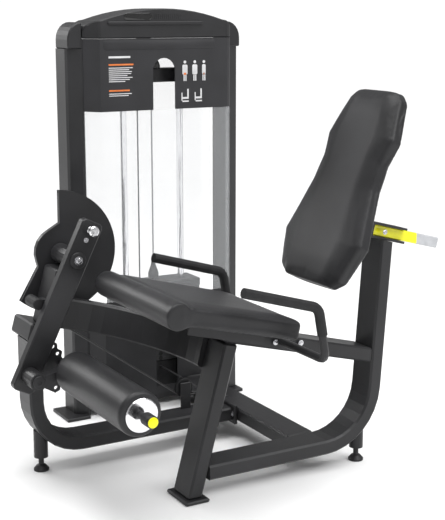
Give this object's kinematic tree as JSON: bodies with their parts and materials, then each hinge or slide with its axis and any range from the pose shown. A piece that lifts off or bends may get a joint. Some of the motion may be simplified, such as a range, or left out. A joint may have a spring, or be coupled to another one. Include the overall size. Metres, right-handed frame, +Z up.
{
  "type": "leg extension machine",
  "caption": "Seated strength machine for straightening the knees: a sloped seat with an adjustable backrest, a lever arm with a padded shin roller, and a cam that lifts weights in a tower.",
  "frame": {"origin": "on the floor in the user's centre plane, at the middle of the front leg's foot plate", "axes": "+Z up; the user sits facing -Y; +X is the user's left; the weight tower stands at -X"},
  "size_m": [1.349, 1.4091, 1.5],
  "materials": {
    "frame_paint": "satin black powder coat",
    "upholstery": "black artificial leather",
    "grip_rubber": "matte black",
    "black_plastic": "fine grain",
    "panel_print": "dark grey, plain",
    "clear_sheet": "clear acrylic sheet",
    "chrome": "polished",
    "yellow_plastic": "bright yellow",
    "cable_steel": "dark coating over steel wire",
    "cast_plate": "dull black"
  },
  "bodies": {
    "frame": {"front_leg": "frame_paint", "front_foot_plate": "black_plastic", "base_and_upright_tube": "frame_paint", "seat_rail": "frame_paint", "cross_tube": "frame_paint", "curved_beam": "frame_paint", "front_stub_tube": "frame_paint", "riser_tube": "frame_paint", "joint_flange": "frame_paint", "front_levelling_foot": "black_plastic", "rear_levelling_foot": "black_plastic", "pivot_post": "frame_paint", "bearing_housing": "frame_paint", "stop_bumper": "grip_rubber", "seat_plate": "frame_paint", "seat_cushion": "upholstery", "left_grip": "grip_rubber", "right_grip": "grip_rubber", "left_handle_bar": "frame_paint", "right_handle_bar": "frame_paint", "lever_bracket": "frame_paint", "backrest_guide": "frame_paint", "tower_base": "frame_paint", "column_front": "frame_paint", "column_rear": "frame_paint", "column_cap_front": "black_plastic", "column_cap_rear": "black_plastic", "top_cover": "black_plastic", "info_panel": "panel_print", "clear_shield": "clear_sheet", "lower_shroud": "black_plastic", "rear_cover": "clear_sheet", "top_crossmember": "frame_paint", "guide_rod_front": "chrome", "guide_rod_rear": "chrome", "drive_cable": "cable_steel", "resting_plates": "cast_plate"},
    "swing_arm": {"cam_disc": "frame_paint", "cam_cable": "cable_steel", "lever_arm": "frame_paint", "index_plate": "frame_paint"},
    "start_knob": {"start_pin": "chrome"},
    "crank": {"roller_crank": "frame_paint"},
    "roller": {"roller_pad": "upholstery", "roller_end_disc": "chrome"},
    "crank_knob": {"roller_knob": "black_plastic"},
    "stack": {"top_plate": "cast_plate", "lifted_plates": "cast_plate", "stack_cable": "cable_steel"},
    "selector": {"selector_pin": "black_plastic"},
    "front_pulley": {"front_low_pulley": "black_plastic"},
    "side_pulley": {"side_low_pulley": "black_plastic"},
    "back_pulley": {"back_low_pulley": "black_plastic"},
    "high_pulley": {"top_pulley": "black_plastic"},
    "backrest": {"backrest_slide": "chrome", "backrest_plate": "black_plastic", "backrest_pad": "upholstery"},
    "lever": {"adjust_lever": "yellow_plastic"}
  },
  "joints": [
    {"name": "leg_swing", "type": "hinge", "parent": "frame", "child": "swing_arm", "pos_m": [-0.32, -0.219, 0.7225], "axis": [-1, 0, 0], "range_deg": [0, 95]},
    {"name": "start_pin_pull", "type": "slide", "parent": "swing_arm", "child": "start_knob", "axis": [1, 0, 0], "range_m": [0, 0.012], "stiffness_N_per_m": 400},
    {"name": "roller_set", "type": "hinge", "parent": "swing_arm", "child": "crank", "pos_m": [-0.32, -0.39207, 0.37078], "axis": [1, 0, 0], "range_deg": [-28, 28]},
    {"name": "roller_spin", "type": "hinge", "parent": "crank", "child": "roller", "pos_m": [0, -0.274, 0.39], "axis": [1, 0, 0], "continuous": true},
    {"name": "roller_knob_pull", "type": "slide", "parent": "crank", "child": "crank_knob", "axis": [1, 0, 0], "range_m": [0, 0.01], "stiffness_N_per_m": 500},
    {"name": "stack_lift", "type": "slide", "parent": "frame", "child": "stack", "axis": [0, 0, 1], "range_m": [0, 0.324], "deforming": ["stack_cable"]},
    {"name": "selector_pull", "type": "slide", "parent": "stack", "child": "selector", "axis": [1, 0, 0], "range_m": [0, 0.024]},
    {"name": "front_pulley_spin", "type": "hinge", "parent": "frame", "child": "front_pulley", "pos_m": [-0.487, 0.243, 0.183], "axis": [1, 0, 0], "continuous": true},
    {"name": "side_pulley_spin", "type": "hinge", "parent": "frame", "child": "side_pulley", "pos_m": [-0.517, 0.305, 0.153], "axis": [0, 0, 1], "continuous": true},
    {"name": "back_pulley_spin", "type": "hinge", "parent": "frame", "child": "back_pulley", "pos_m": [-0.99, 0.335, 0.183], "axis": [0, 1, 0], "continuous": true},
    {"name": "top_pulley_spin", "type": "hinge", "parent": "frame", "child": "high_pulley", "pos_m": [-0.96, 0.335, 1.352], "axis": [0, 1, 0], "continuous": true},
    {"name": "backrest_adjust", "type": "slide", "parent": "frame", "child": "backrest", "axis": [0, 0.9673, -0.2538], "range_m": [-0.07, 0]},
    {"name": "lever_turn", "type": "hinge", "parent": "frame", "child": "lever", "pos_m": [0, 0.71985, 0.78312], "axis": [0, 0.2538, 0.9673], "range_deg": [0, 12], "stiffness_Nm_per_rad": 3}
  ],
  "couplings": [
    {"joint": "stack_lift", "follows": "leg_swing", "m_per_rad": 0.195},
    {"joint": "front_pulley_spin", "follows": "leg_swing", "ratio": -6.5},
    {"joint": "side_pulley_spin", "follows": "leg_swing", "ratio": -6.5},
    {"joint": "back_pulley_spin", "follows": "leg_swing", "ratio": -6.5},
    {"joint": "top_pulley_spin", "follows": "leg_swing", "ratio": -3.25}
  ]
}
